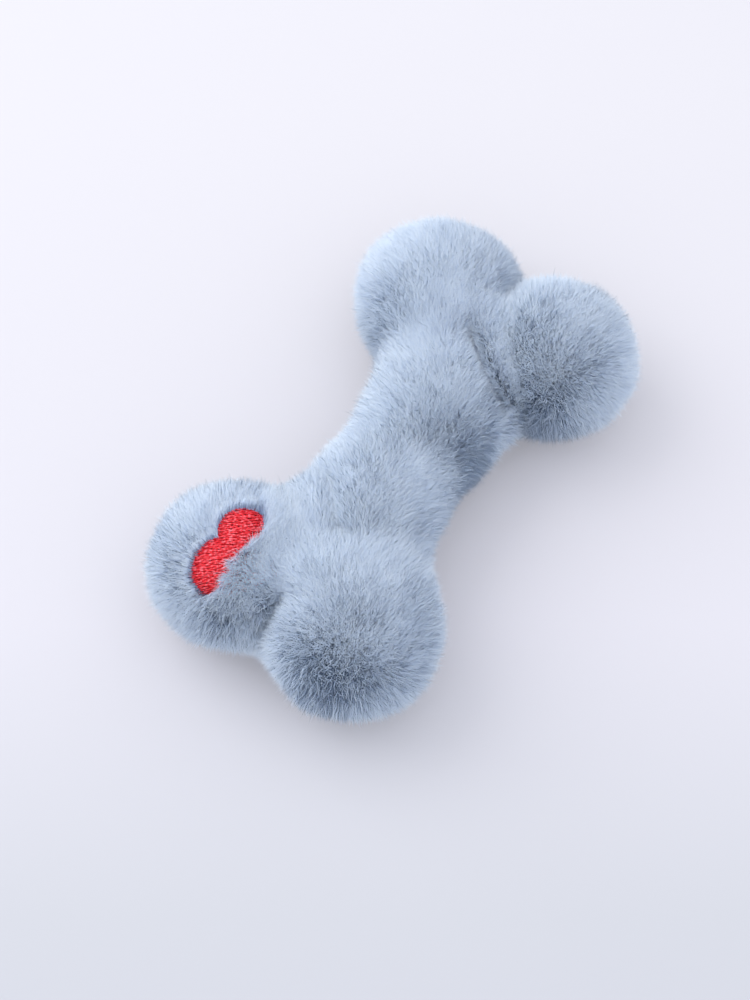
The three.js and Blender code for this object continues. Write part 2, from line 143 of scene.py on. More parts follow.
def spots_group():
    """Soft spots of chance over a surface, which the stretch draws out into streaks."""
    group = bpy.data.node_groups.new("spots", "ShaderNodeTree")
    group.interface.new_socket("Stretch", in_out="INPUT", socket_type="NodeSocketVector")
    group.interface.new_socket("Per Metre", in_out="INPUT", socket_type="NodeSocketFloat")
    group.interface.new_socket("Detail", in_out="INPUT", socket_type="NodeSocketFloat")
    group.interface.new_socket("Mask", in_out="OUTPUT", socket_type="NodeSocketFloat")
    given = group.nodes.new("NodeGroupInput")
    place = group.nodes.new("ShaderNodeTexCoord")
    stretched = group.nodes.new("ShaderNodeVectorMath")
    stretched.operation = "MULTIPLY"
    noise = group.nodes.new("ShaderNodeTexNoise")
    result = group.nodes.new("NodeGroupOutput")
    group.links.new(place.outputs["Object"], stretched.inputs[0])
    group.links.new(given.outputs["Stretch"], stretched.inputs[1])
    group.links.new(stretched.outputs["Vector"], noise.inputs["Vector"])
    group.links.new(given.outputs["Per Metre"], noise.inputs["Scale"])
    group.links.new(given.outputs["Detail"], noise.inputs["Detail"])
    group.links.new(noise.outputs["Fac"], result.inputs["Mask"])
    return group


spots_tree = spots_group()


class Finish:
    """A material with one Principled shader, and what feeds it."""

    def __init__(self, name, roughness, metallic=0.0):
        self.material = bpy.data.materials.new(name)
        self.material.use_nodes = True
        self.tree = self.material.node_tree
        self.shader = self.tree.nodes["Principled BSDF"]
        self.shader.inputs["Roughness"].default_value = roughness
        self.shader.inputs["Metallic"].default_value = metallic

    def add(self, kind, values, **settings):
        """A node whose inputs take either another node's output or a plain value."""
        node = self.tree.nodes.new("ShaderNode" + kind)
        for key, value in settings.items():
            setattr(node, key, value)
        for key, value in values.items():
            if isinstance(value, bpy.types.NodeSocket):
                self.tree.links.new(value, node.inputs[key])
            else:
                node.inputs[key].default_value = value
        return node

    def calculate(self, operation, a, b=0.0):
        return self.add("Math", {0: a, 1: b}, operation=operation).outputs[0]

    def link(self, output, socket):
        self.tree.links.new(output, self.shader.inputs[socket])

    def place(self):
        return self.add("TexCoord", {}).outputs["Object"]

    def spots(self, per_metre, detail, stretch=(1, 1, 1)):
        values = {"Per Metre": per_metre, "Detail": detail, "Stretch": stretch}
        return self.add("Group", values, node_tree=spots_tree).outputs["Mask"]

    def ramp(self, value, *stops):
        """A colour ramp through (place, colour) stops."""
        node = self.add("ValToRGB", {"Fac": value})
        while len(node.color_ramp.elements) < len(stops):
            node.color_ramp.elements.new(1)
        for element, (place, colour) in zip(node.color_ramp.elements, stops):
            element.position = place
            element.color = colour
        return node.outputs["Color"]

    def mix(self, share, a, b, blend_type="MIX"):
        """Two colours mixed. The sockets are the ones that this node has for colours."""
        values = {0: share, 6: a, 7: b}
        return self.add("Mix", values, data_type="RGBA", blend_type=blend_type).outputs[2]

    def rough(self, value, low, high):
        """Roughness from low to high over the value's middle."""
        stops = [(place, (share, share, share, 1)) for place, share in ((0.3, low), (0.7, high))]
        self.link(self.ramp(value, *stops), "Roughness")

    def bump(self, height, depth):
        bumped = self.add("Bump", {"Height": height, "Distance": depth, "Strength": 1.0})
        self.link(bumped.outputs["Normal"], "Normal")


def swell_at(along):
    """How far the shaft has swollen from its waist to its shoulders, from 0 to 1."""
    share = np.minimum(along / SHOULDER_X, 1)
    return share * share * (3 - 2 * share)


def shaft_half_sizes(along, depth):
    swell = swell_at(along)
    wide = WAIST_HALF_WIDTH + (SHOULDER_HALF_WIDTH - WAIST_HALF_WIDTH) * swell - depth
    high = WAIST_HALF_HEIGHT + (SHOULDER_HALF_HEIGHT - WAIST_HALF_HEIGHT) * swell - depth
    return wide, high


def shaft_mesh(depth):
    """The shaft as a lathed tube with an oval section, rounded off past its shoulders."""
    mesh = bmesh.new()
    rings = []
    for x in np.linspace(-1, 1, SHAFT_RINGS) * (CLEFT_X - depth) * LAST_RING_SHARE:
        past = max(0, abs(x) - SHOULDER_X) / (CLEFT_X - depth - SHOULDER_X)
        end = math.sqrt(1 - past * past)
        wide, high = shaft_half_sizes(abs(x), depth)
        turns = np.linspace(0, 2 * math.pi, SHAFT_SIDES, endpoint=False)
        ring = [(x, wide * end * math.cos(turn), high * end * math.sin(turn)) for turn in turns]
        rings.append([mesh.verts.new(point) for point in ring])
    for a, b in zip(rings, rings[1:]):
        for i in range(SHAFT_SIDES):
            j = (i + 1) % SHAFT_SIDES
            mesh.faces.new((a[i], a[j], b[j], b[i]))
    mesh.faces.new(rings[0])
    mesh.faces.new(list(reversed(rings[-1])))
    bmesh.ops.rotate(mesh, matrix=Matrix.Rotation(SHAFT_TURN, 3, "Z"), verts=mesh.verts)
    bmesh.ops.translate(mesh, vec=(0, SHAFT_Y, SEAM_Z), verts=mesh.verts)
    return mesh


def unit(vectors):
    return vectors / np.maximum(np.linalg.norm(vectors, axis=-1, keepdims=True), SMALL)


def read_points(vertices, kind):
    """The vertices' places or their normals, one row each."""
    values = np.empty(len(vertices) * 3)
    vertices.foreach_get(kind, values)
    return values.reshape(-1, 3)


def oval_distance(offset, sizes):
    """Roughly how far points lie outside an oval body with these half sizes."""
    near = np.sqrt(((offset / sizes) ** 2).sum(1))
    steep = np.sqrt(((offset / sizes ** 2) ** 2).sum(1))
    return near * (near - 1) / np.maximum(steep, SMALL)


def from_way(places, way):
    """How far points lie, seen from above, from a way of straight stretches."""
    points = places[:, :2]
    nearest = np.full(len(points), np.inf)
    for a, b in zip(way, way[1:]):
        share = np.clip((points - a) @ (b - a) / ((b - a) @ (b - a)), 0, 1)
        gap = points - a - share[:, None] * (b - a)
        nearest = np.minimum(nearest, np.linalg.norm(gap, axis=1))
    return nearest


def creased(places):
    """How deep the creases are at these places."""
    deep = np.zeros(len(places))
    for way, depth, half_width in CREASES:
        near = np.exp(-(from_way(places, np.array(way) * MM) / half_width) ** 2)
        deep = np.maximum(deep, depth * near)
    return deep * np.clip((places[:, 2] - SEAM_Z) / CREASE_RUNS_OUT, 0, 1)


def bone_distance(places, depth):
    """Roughly how far points lie outside the bone, whose swellings run into each other."""
    shaft_frame = np.array(Matrix.Rotation(SHAFT_TURN, 3, "Z"))
    turned = (places - np.array([0, SHAFT_Y, SEAM_Z])) @ shaft_frame
    along = np.abs(turned[:, 0])
    past = np.maximum(along - SHOULDER_X, 0)
    offset = np.stack([past, turned[:, 1], turned[:, 2]], 1)
    rounding = np.full(len(past), CLEFT_X - depth - SHOULDER_X)
    bone = oval_distance(offset, np.stack([rounding, *shaft_half_sizes(along, depth)], 1))
    lobe_sizes = np.array([LOBE_RADIUS, LOBE_RADIUS, LOBE_HALF_HEIGHT]) - depth
    for (to_x, to_y), over in RUNS_OVER.items():
        centre = np.array([to_x * LOBE_X, to_y * LOBE_Y, SEAM_Z])
        lobe = oval_distance(places - centre, lobe_sizes)
        between = np.maximum(over - np.abs(bone - lobe), 0) / over
        bone = np.minimum(bone, lobe) - between ** 2 * over / 4
    return bone + creased(places)


def brought_to(places, depth, most_out=0.0):
    """Draws points that lie outside the bone's surface onto it, and lets others out to it."""
    for _ in range(STEPS_TO_SURFACE):
        away = np.clip(bone_distance(places, depth), most_out, VOXEL)
        slope = np.stack([
            bone_distance(places + step, depth) - bone_distance(places - step, depth)
            for step in np.eye(3) * PROBE
        ], 1)
        places = places - unit(slope) * away[:, None]
    return places


def settle(piece):
    """Applies a piece's modifiers and shades it smooth."""
    evaluated = piece.evaluated_get(bpy.context.evaluated_depsgraph_get())
    mesh = bpy.data.meshes.new_from_object(evaluated)
    piece.modifiers.clear()
    piece.data = mesh
    mesh.shade_smooth()


def soften(piece, steps):
    piece.modifiers.new("soften", "SMOOTH").iterations = steps
    settle(piece)


def in_one_skin(piece, voxel, steps):
    """Joins a piece's bodies, which overlap, into one closed skin with soft creases."""
    remesh = piece.modifiers.new("one_skin", "REMESH")
    remesh.mode = "VOXEL"
    remesh.voxel_size = voxel
    soften(piece, steps)


def placed(name, mesh):
    """A new object that holds this mesh."""
    piece = bpy.data.objects.new(name, mesh)
    bpy.context.scene.collection.objects.link(piece)
    return piece


def bone_skin(depth):
    """One closed skin round the whole bone, at this depth under the tips of the pile."""
    mesh = shaft_mesh(depth)
    radius, half_height = LOBE_RADIUS - depth, LOBE_HALF_HEIGHT - depth
    for to_x, to_y in RUNS_OVER:
        ball = bmesh.ops.create_icosphere(mesh, subdivisions=LOBE_SUBDIVISIONS, radius=1)["verts"]
        bmesh.ops.scale(mesh, vec=(radius, radius, half_height), verts=ball)
        bmesh.ops.translate(mesh, vec=(to_x * LOBE_X, to_y * LOBE_Y, SEAM_Z), verts=ball)
    bmesh.ops.recalc_face_normals(mesh, faces=mesh.faces)
    data = bpy.data.meshes.new("skin")
    mesh.to_mesh(data)
    mesh.free()
    bone = placed("skin", data)
    in_one_skin(bone, VOXEL, steps=6)
    places = brought_to(read_points(bone.data.vertices, "co"), depth, most_out=-VOXEL)
    bone.data.vertices.foreach_set("co", places.ravel())
    soften(bone, steps=4)
    return bone


def piece_of(mesh, name, planes):
    """The part of a mesh that lies in front of all the planes, as a new object."""
    part = bmesh.new()
    part.from_mesh(mesh)
    for place, normal in planes:
        parts = part.verts[:] + part.edges[:] + part.faces[:]
        bmesh.ops.bisect_plane(part, geom=parts, plane_co=place, plane_no=normal, clear_inner=True)
    data = bpy.data.meshes.new(name)
    part.to_mesh(data)
    part.free()
    data.shade_smooth()
    return placed(name, data)


def dips(piece):
    """Sets an upper piece's placement into its mesh."""
    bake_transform(piece)


cloth_finish = Finish("pile_ground", roughness=0.95)
knit = cloth_finish.spots(per_metre=2500, detail=2)
# The ground's dark blue-grey is painted shade at the foot of the pile, over a random knit tone.
shaded_knit_colour = cloth_finish.ramp(knit, (0.3, linear(96, 112, 140)), (0.7, linear(128, 145, 172)))
cloth_finish.link(shaded_knit_colour, "Base Color")
cloth_finish.bump(knit, depth=0.2 * MM)

skin = bone_skin(GROUND_DEPTH)
for side, to_z in (("top", 1), ("bottom", -1)):
    for end, to_x in ENDS.items():
        planes = [(MIDDLE, (0, 0, to_z)), (MIDDLE, (to_x, 0, 0))]
        cloth = piece_of(skin.data, f"{side}_cloth_{end}", planes)
        cloth.modifiers.new("thickness", "SOLIDIFY").thickness = CLOTH
        settle(cloth)
        cloth.data.materials.append(cloth_finish.material)
        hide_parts(f"{side}_panel")
        if side == "top":
            dips(cloth)
        else:
            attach(cloth, "toy")


# Heart. Red rayon thread in long parallel stitches, worked through the ground where the
# pile is clipped away. Each stitch is its own raised thread, over a flat layer that runs
# the other way.

HEART_WIDTH = 32 * MM
HEART_HEIGHT = 26 * MM
HEART_X = -LOBE_X - 2 * MM
HEART_Y = LOBE_Y - 5 * MM
HEART_CURVE_SHARES = (
    ((0, -0.5), (0.12, -0.38), (0.5, -0.12), (0.5, 0.18)),
    ((0.5, 0.18), (0.5, 0.4), (0.38, 0.5), (0.25, 0.5)),
    ((0.25, 0.5), (0.12, 0.5), (0.03, 0.45), (0, 0.36)),
)
CURVE_STEPS = 16
STITCH_WAY = np.array([0.541, -0.841])  # the stitches cross the heart aslant
ROW_SPACING = 0.46 * MM
ROWS_REACH = 0.7 * HEART_WIDTH  # from the heart's middle past its edge, on every side
LINE_POINTS = 901
STITCH_LENGTH = 3.4 * MM
SHORTEST_STITCH = 0.5 * MM
POINTS_PER_STITCH = 8
ROWS_PER_PATTERN = 5
THREAD_WIDTH = 0.54 * MM
THREAD_HEIGHT = 0.44 * MM
THREAD_SIDES = 6
STITCH_RISE = 1.4 * MM
ARCH_SHARE = 0.35  # of that rise
PINCHED_SHARE = 0.55  # of the thread's width, at a needle hole
UNDERLAY_INSET = 0.4 * MM
UNDERLAY_RISE_SHARE = 0.45
EDGE_STRAY = 0.25 * MM  # how unevenly the needle goes in
HOLE_STRAY_SHARE = 0.06
SIDEWAYS_STRAY = 0.1 * MM
ARCH_STRAY_SHARES = (0.4, 1.4)
STITCH_SEED = 3


def heart_outline(margin=0.0):
    """Points round the heart, seen from above, its top towards +Y."""
    half = []
    for a, b, c, d in HEART_CURVE_SHARES:
        for t in np.linspace(0, 1, CURVE_STEPS, endpoint=False):
            u = 1 - t
            weights = (u ** 3, 3 * u * u * t, 3 * u * t * t, t ** 3)
            half.append([sum(w * p[k] for w, p in zip(weights, (a, b, c, d))) for k in (0, 1)])
    half.append(list(HEART_CURVE_SHARES[-1][-1]))
    mirrored = [[-x, y] for x, y in reversed(half[1:-1])]
    size = np.array([HEART_WIDTH, HEART_HEIGHT]) + 2 * margin
    return np.array(half + mirrored) * size + np.array([HEART_X, HEART_Y])


def inside(outline, places):
    """Which of the places lie inside the outline, seen from above."""
    x, y = places[:, 0], places[:, 1]
    within = np.zeros(len(places), bool)
    for (ax, ay), (bx, by) in zip(outline, np.roll(outline, -1, axis=0)):
        crosses = (ay > y) != (by > y)
        at = ax + (y - ay) * (bx - ax) / (by - ay if abs(by - ay) > SMALL else SMALL)
        within ^= crosses & (x < at)
    return within


skin_tree = BVHTree.FromObject(skin, bpy.context.evaluated_depsgraph_get())


def on_skin(x, y):
    """The skin's point and normal straight under (x, y)."""
    hit, normal, _, _ = skin_tree.ray_cast(Vector((x, y, 2 * SEAM_Z)), Vector((0, 0, -1)))
    return hit, normal


def stitch_path(start, way, across, low, high, rise, chance):
    """One stitch from low to high along its row, an arch between its two needle holes."""
    sway = chance.normal(0, SIDEWAYS_STRAY, 2)
    shadow_glow = chance.uniform(*ARCH_STRAY_SHARES)
    path, swell = [], []
    for t in np.linspace(0, 1, POINTS_PER_STITCH):
        arch = math.sin(math.pi * t) ** 0.5
        sideways = sway[0] + (sway[1] - sway[0]) * t
        x, y = start + (low + (high - low) * t) * way + sideways * across
        point, normal = on_skin(x, y)
        path.append(point + normal * (rise * (1 - ARCH_SHARE + ARCH_SHARE * arch * shadow_glow)))
        swell.append(PINCHED_SHARE + (1 - PINCHED_SHARE) * arch)
    return path, swell


def stitches(outline, way, rise):
    """Rows of stitches across the outline, each a path with its thread's swelling."""
    chance = np.random.default_rng(STITCH_SEED)
    across = np.array([-way[1], way[0]])
    steps = np.linspace(-1, 1, LINE_POINTS) * ROWS_REACH
    rows = int(ROWS_REACH / ROW_SPACING)
    paths = []
    for row in range(-rows, rows + 1):
        start = np.array([HEART_X, HEART_Y]) + across * row * ROW_SPACING
        within = inside(outline, start + steps[:, None] * way)
        edges = np.flatnonzero(np.diff(within.astype(int)))
        for low, high in zip(steps[edges[::2]], steps[edges[1::2]]):
            low += chance.normal(0, EDGE_STRAY)
            high += chance.normal(0, EDGE_STRAY)
            shift = (row * 2 % ROWS_PER_PATTERN) / ROWS_PER_PATTERN
            shift += chance.normal(0, HOLE_STRAY_SHARE)
            first = math.ceil(low / STITCH_LENGTH - shift)
            last = math.floor(high / STITCH_LENGTH - shift)
            holes = [low] + [(k + shift) * STITCH_LENGTH for k in range(first, last + 1)] + [high]
            for a, b in zip(holes, holes[1:]):
                if b - a >= SHORTEST_STITCH:
                    paths.append(stitch_path(start, way, across, a, b, rise, chance))
    return paths


def thread_mesh(name, paths):
    """All the stitches as one mesh of flattened tubes."""
    vertices, faces = [], []
    for path, swell in paths:
        first = len(vertices)
        for k, point in enumerate(path):
            ahead = path[min(k + 1, len(path) - 1)] - path[max(k - 1, 0)]
            across = ahead.cross(on_skin(point.x, point.y)[1]).normalized()
            up = across.cross(ahead).normalized()
            for i in range(THREAD_SIDES):
                turn = 2 * math.pi * i / THREAD_SIDES
                offset = across * (THREAD_WIDTH / 2 * math.cos(turn))
                offset += up * (THREAD_HEIGHT / 2 * math.sin(turn))
                vertices.append(point + offset * swell[k])
        for k in range(len(path) - 1):
            for i in range(THREAD_SIDES):
                a = first + k * THREAD_SIDES + i
                b = first + k * THREAD_SIDES + (i + 1) % THREAD_SIDES
                faces.append((a, b, b + THREAD_SIDES, a + THREAD_SIDES))
    data = bpy.data.meshes.new(name)
    data.from_pydata(vertices, [], faces)
    data.shade_smooth()
    return data


thread_finish = Finish("heart_thread", roughness=0.3)
fleck_and_glint = thread_finish.spots(per_metre=1100, detail=3)
# Random flecks of deeper and lighter red; the pinkish top stop is a painted glint on the threads.
thread_colour_and_glint = thread_finish.ramp(
    fleck_and_glint, (0.35, linear(208, 8, 26)), (0.49, linear(246, 28, 46)), (0.67, linear(255, 126, 138))
)
thread_finish.link(thread_colour_and_glint, "Base Color")
thread_finish.bump(thread_finish.spots(per_metre=6000, detail=1), depth=0.08 * MM)

underlay_way = np.array([-STITCH_WAY[1], STITCH_WAY[0]])
paths = stitches(heart_outline(), STITCH_WAY, STITCH_RISE)
paths += stitches(heart_outline(-UNDERLAY_INSET), underlay_way, STITCH_RISE * UNDERLAY_RISE_SHARE)
heart = placed("stitched_heart", thread_mesh("stitched_heart", paths))
heart.data.materials.append(thread_finish.material)
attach(heart, "toy")
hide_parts("heart_embroidery")


# Seam threads. Spun polyester in the colour of the pile: the lockstitch round the edge,
# and the ladder stitch that closes the opening that the bone was turned through.

PLY_SLANT = (1, 0.7, 1.6)  # how the twisted plies run across the thread

sewing_finish = Finish("sewing_thread", roughness=0.6)
slants = {0: sewing_finish.place(), 1: PLY_SLANT}
slanted = sewing_finish.add("VectorMath", slants, operation="MULTIPLY")
twist = {"Vector": slanted.outputs[0], "Scale": 520, "Distortion": 0.6}
plies = sewing_finish.add("TexWave", twist).outputs["Fac"]
ply_colour = sewing_finish.ramp(plies, (0.2, linear(112, 130, 160)), (0.8, linear(168, 184, 210)))
sewing_finish.link(ply_colour, "Base Color")
sewing_finish.bump(plies, depth=0.08 * MM)


def finish_nodes(finish, *names):
    """Gives solids of the frame that stay as they are their own finish."""
    for name in names:
        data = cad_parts[name].data
        data.materials.clear()
        data.materials.append(finish.material)


finish_nodes(sewing_finish, "seam_needle_thread", "seam_bobbin_thread", "closing_thread")


# Heart's backing. A sheet of pressed white fibre, ironed on behind the stitches to keep
# the knit from puckering under them.

backing_finish = Finish("backing_sheet", roughness=0.85)
felted = backing_finish.spots(per_metre=900, detail=6)
felt_colour = backing_finish.ramp(
    felted, (0.35, linear(206, 206, 202)), (0.65, linear(238, 238, 234))
)
backing_finish.link(felt_colour, "Base Color")
backing_finish.bump(felted, depth=0.15 * MM)
finish_nodes(backing_finish, "heart_backing")


# Squeaker. A blow-moulded bladder of milky soft plastic: crown, folding wall and base, with
# the line where the mould's halves met. It lies in the middle of the shaft.

MOULD_LINE_FROM = 0.1 * MM
MOULD_LINE_TO = 0.3 * MM

bladder_finish = Finish("bladder_plastic", roughness=0.38)
bladder_finish.shader.inputs["Subsurface Weight"].default_value = 0.25
bladder_finish.shader.inputs["Subsurface Scale"].default_value = 1.5 * MM
cloudy = bladder_finish.spots(per_metre=160, detail=5)
milky = bladder_finish.ramp(cloudy, (0.3, linear(214, 220, 222)), (0.7, linear(236, 240, 240)))
bladder_finish.link(milky, "Base Color")
bladder_finish.rough(cloudy, low=0.3, high=0.46)
split = bladder_finish.add("SeparateXYZ", {"Vector": bladder_finish.place()})
across_shaft = bladder_finish.calculate("ADD", split.outputs["Y"], -SHAFT_Y)
from_line = bladder_finish.calculate("ABSOLUTE", across_shaft)
line_range = {"From Min": MOULD_LINE_FROM, "From Max": MOULD_LINE_TO, "To Min": 1, "To Max": 0}
ridge = bladder_finish.add("MapRange", {"Value": from_line, **line_range}).outputs[0]
rough_skin = bladder_finish.spots(per_metre=3000, detail=2)
moulded = bladder_finish.calculate("ADD", rough_skin, ridge)
bladder_finish.bump(moulded, depth=0.06 * MM)
finish_nodes(bladder_finish, "squeaker_crown", "squeaker_base")

folding_wall = placed("squeaker_folding_wall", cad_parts["squeaker_bellows"].data.copy())
folding_wall.data.materials.clear()
folding_wall.data.materials.append(bladder_finish.material)
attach(folding_wall, "toy")
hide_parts("squeaker_bellows")
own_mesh(folding_wall)


# Reed insert. A barrel, a half-round seat and a wedge, injection moulded in hard white
# plastic, with fine drawing marks along the barrel. It is pressed into the base.

reed_finish = Finish("reed_plastic", roughness=0.3)
marks = reed_finish.spots(per_metre=5000, detail=3, stretch=(1, 1, 0.08))
white_plastic = reed_finish.ramp(marks, (0.3, linear(222, 220, 210)), (0.7, linear(240, 238, 230)))
reed_finish.link(white_plastic, "Base Color")
reed_finish.rough(marks, low=0.24, high=0.38)
reed_finish.bump(marks, depth=0.01 * MM)
finish_nodes(reed_finish, "reed_barrel", "reed_seat", "reed_clamp")


# Reed. A strip of rolled brass with the grain of rolling along it, a little tarnished. Its
# foot is held by the wedge and its tip beats against the seat.

brass_finish = Finish("reed_metal", roughness=0.3, metallic=1.0)
grain = brass_finish.spots(per_metre=12000, detail=2, stretch=(1, 1, 0.04))
tarnish = brass_finish.spots(per_metre=700, detail=4)
brass_colour = brass_finish.ramp(
    tarnish, (0.35, linear(176, 140, 84)), (0.6, linear(214, 184, 118))
)
brass_finish.link(brass_colour, "Base Color")
brass_finish.rough(grain, low=0.22, high=0.4)
brass_finish.bump(grain, depth=0.004 * MM)
finish_nodes(brass_finish, "reed_tongue")


# Stuffing. Loose white polyester fibre, pushed in by hand as a wad for each lobe and two
# round the squeaker. Each wad is a lumpy mass with stray fibres lying over it.

WAD_VOXEL = 1 * MM
LUMP_DEPTH = 0.7 * MM
LUMPS = ((0.3, 6 * MM, 51), (0.2, 2.5 * MM, 52))  # share of that depth, size and seed
WAVES_SUMMED = 10
WAVE_STRAY_SHARES = (0.6, 1.6)
LINING_GAP = 0.4 * MM  # between cloth and wad
FIBRES_PER_MM2 = 0.6
FIBRE_LENGTH = 8 * MM
FIBRE_LENGTH_SHARES = (0.5, 1)
FIBRE_WIDTH = 0.1 * MM
FIBRE_SINKS = 0.35 * MM  # its ends
FIBRE_RISES = 0.1 * MM  # its middle
FIBRE_SEED = 5
ROOM_ROUND_SQUEAKER = 0.4 * MM
TWIST = 0.9  # radians, either way
WIDTH_SHARES = (0.75, 1.25)
FACING_SHARE = 0.65  # how far a strand is shaded as the surface that it grows from
PALETTE_MARGIN = 0.02
# A strand is a four-sided half and a three-sided tip, with these corners among its points
STRAND_CORNERS = np.array([0, 2, 3, 1, 1, 3, 4])
STRAND_STARTS = np.array([0, 4])
STRAND_ALONG = np.array([0, 0.5, 0, 0.5, 1])

fill_finish = Finish("fibre_fill", roughness=0.9)
wisps = fill_finish.spots(per_metre=1400, detail=6)
fill_colour = fill_finish.ramp(wisps, (0.3, linear(214, 217, 220)), (0.65, linear(246, 247, 248)))
fill_finish.link(fill_colour, "Base Color")
fill_finish.bump(wisps, depth=0.4 * MM)


def strand_shares(finish):
    """How far along its strand a point is, and how light the strand is, from 0 to 1."""
    palette = finish.add("UVMap", {}, uv_map="OFBake").outputs["UV"]
    split = finish.add("SeparateXYZ", {"Vector": palette})
    return split.outputs["X"], split.outputs["Y"]


fibre_finish = Finish("fibre_strands", roughness=0.75)
_, fibre_light = strand_shares(fibre_finish)
fibre_colour = fibre_finish.ramp(
    fibre_light, (0.0, linear(226, 228, 230)), (1.0, linear(252, 252, 252))
)
fibre_finish.link(fibre_colour, "Base Color")


def sample_skin(mesh, count, chance):
    """Evenly strewn points on a mesh, with their smooth normals."""
    mesh.calc_loop_triangles()
    corners = np.empty(len(mesh.loop_triangles) * 3, np.int64)
    mesh.loop_triangles.foreach_get("vertices", corners)
    corners = corners.reshape(-1, 3)
    places, normals = read_points(mesh.vertices, "co"), read_points(mesh.vertices, "normal")
    a, b, c = (places[corners[:, k]] for k in range(3))
    area = np.linalg.norm(np.cross(b - a, c - a), axis=1)
    picked = chance.choice(len(corners), count, p=area / area.sum())
    u, v = chance.random((2, count))
    over = u + v > 1
    u[over], v[over] = 1 - u[over], 1 - v[over]
    shares = np.stack([1 - u - v, u, v], 1)[:, :, None]
    point = (places[corners[picked]] * shares).sum(1)
    normal = unit((normals[corners[picked]] * shares).sum(1))
    return point, normal


def waves(points, size, seed):
    """Smooth noise from -1 to 1 about `size` across, as a sum of random plane waves."""
    chance = np.random.default_rng(seed)
    directions = unit(chance.normal(size=(WAVES_SUMMED, 3)))
    directions = directions * chance.uniform(*WAVE_STRAY_SHARES, (WAVES_SUMMED, 1))
    phases = chance.uniform(0, 2 * math.pi, WAVES_SUMMED)
    total = np.sin(points @ directions.T * (math.pi / size) + phases).sum(1)
    return total / math.sqrt(WAVES_SUMMED / 2) / 2


def ribbon_mesh(name, paths, width, facing, tint, chance):
    """Each strand as a thin ribbon that ends in a point."""
    count = len(paths)
    ahead = unit(np.gradient(paths, axis=1))
    side = unit(np.cross(ahead, facing[:, None, :]))
    cover = np.cross(side, ahead)
    twist = chance.uniform(-TWIST, TWIST, (count, 1, 1))
    side = side * np.cos(twist) + cover * np.sin(twist)
    half = side[:, :2] * (width / 2 * chance.uniform(*WIDTH_SHARES, (count, 1, 1)))
    vertices = np.concatenate([paths[:, :2] - half, paths[:, :2] + half, paths[:, 2:]], 1)
    shading = unit(FACING_SHARE * facing[:, None, :] + (1 - FACING_SHARE) * cover)
    shading = np.concatenate([shading[:, :2], shading[:, :2], shading[:, 2:]], 1)
    points, corners, faces = (len(part) for part in (STRAND_ALONG, STRAND_CORNERS, STRAND_STARTS))
    corner = (np.arange(count)[:, None] * points + STRAND_CORNERS).ravel()
    starts = (np.arange(count)[:, None] * corners + STRAND_STARTS).ravel()
    data = bpy.data.meshes.new(name)
    data.vertices.add(count * points)
    data.vertices.foreach_set("co", vertices.astype(np.float32).ravel())
    data.loops.add(count * corners)
    data.loops.foreach_set("vertex_index", corner.astype(np.int32))
    data.polygons.add(count * faces)
    data.polygons.foreach_set("loop_start", starts.astype(np.int32))
    along = STRAND_ALONG * (1 - 2 * PALETTE_MARGIN) + PALETTE_MARGIN
    palette = np.stack([np.tile(along, (count, 1)), np.tile(tint[:, None], (1, points))], 2)
    layer = data.uv_layers.new(name="OFBake")
    layer.data.foreach_set("uv", palette.reshape(-1, 2)[corner].astype(np.float32).ravel())
    data.update(calc_edges=True)
    data.shade_smooth()
    data.normals_split_custom_set_from_vertices(shading.reshape(-1, 3))
    return placed(name, data)


def out_of_squeaker(paths):
    """Which fibres stay out of the room that the squeaker folds in."""
    low, high = (np.array(corner)[:2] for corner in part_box("squeaker_crown"))
    offset = (paths[:, :, :2] - (low + high) / 2) / ((high - low) / 2 + ROOM_ROUND_SQUEAKER)
    return ((offset ** 2).sum(2) > 1).all(1)


def lumpy_wad(name, node, planes):
    """A lumpy wad of fibre in the space of a solid of the frame."""
    whole = placed("wad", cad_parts[node].data.copy())
    in_one_skin(whole, WAD_VOXEL, steps=3)
    places = read_points(whole.data.vertices, "co")
    lumps = 0.5 + sum(share * waves(places, size, seed) for share, size, seed in LUMPS)
    sunk = LUMP_DEPTH * np.clip(lumps, 0, 1)[:, None]
    places = places - read_points(whole.data.vertices, "normal") * sunk
    places = brought_to(places, GROUND_DEPTH + CLOTH + LINING_GAP)
    whole.data.vertices.foreach_set("co", places.ravel())
    whole.data.update()
    body = piece_of(whole.data, name, planes)
    bpy.data.objects.remove(whole)
    body.data.materials.clear()
    body.data.materials.append(fill_finish.material)
    return body


def loose_fibres(name, body, chance):
    """Fibres that lie over a wad, each with its ends tucked in."""
    area = sum(face.area for face in body.data.polygons)
    count = int(area / MM ** 2 * FIBRES_PER_MM2)
    root, normal = sample_skin(body.data, count, chance)
    lie = unit(np.cross(normal, chance.normal(size=root.shape)))
    half = lie * (FIBRE_LENGTH / 2 * chance.uniform(*FIBRE_LENGTH_SHARES, count))[:, None]
    sunk = normal * FIBRE_SINKS
    paths = np.stack([root - half - sunk, root + normal * FIBRE_RISES, root + half - sunk], 1)
    loose = out_of_squeaker(paths)
    paths, normal = paths[loose], normal[loose]
    fibres = ribbon_mesh(name, paths, FIBRE_WIDTH, normal, chance.random(len(paths)), chance)
    fibres.data.materials.append(fibre_finish.material)
    return fibres


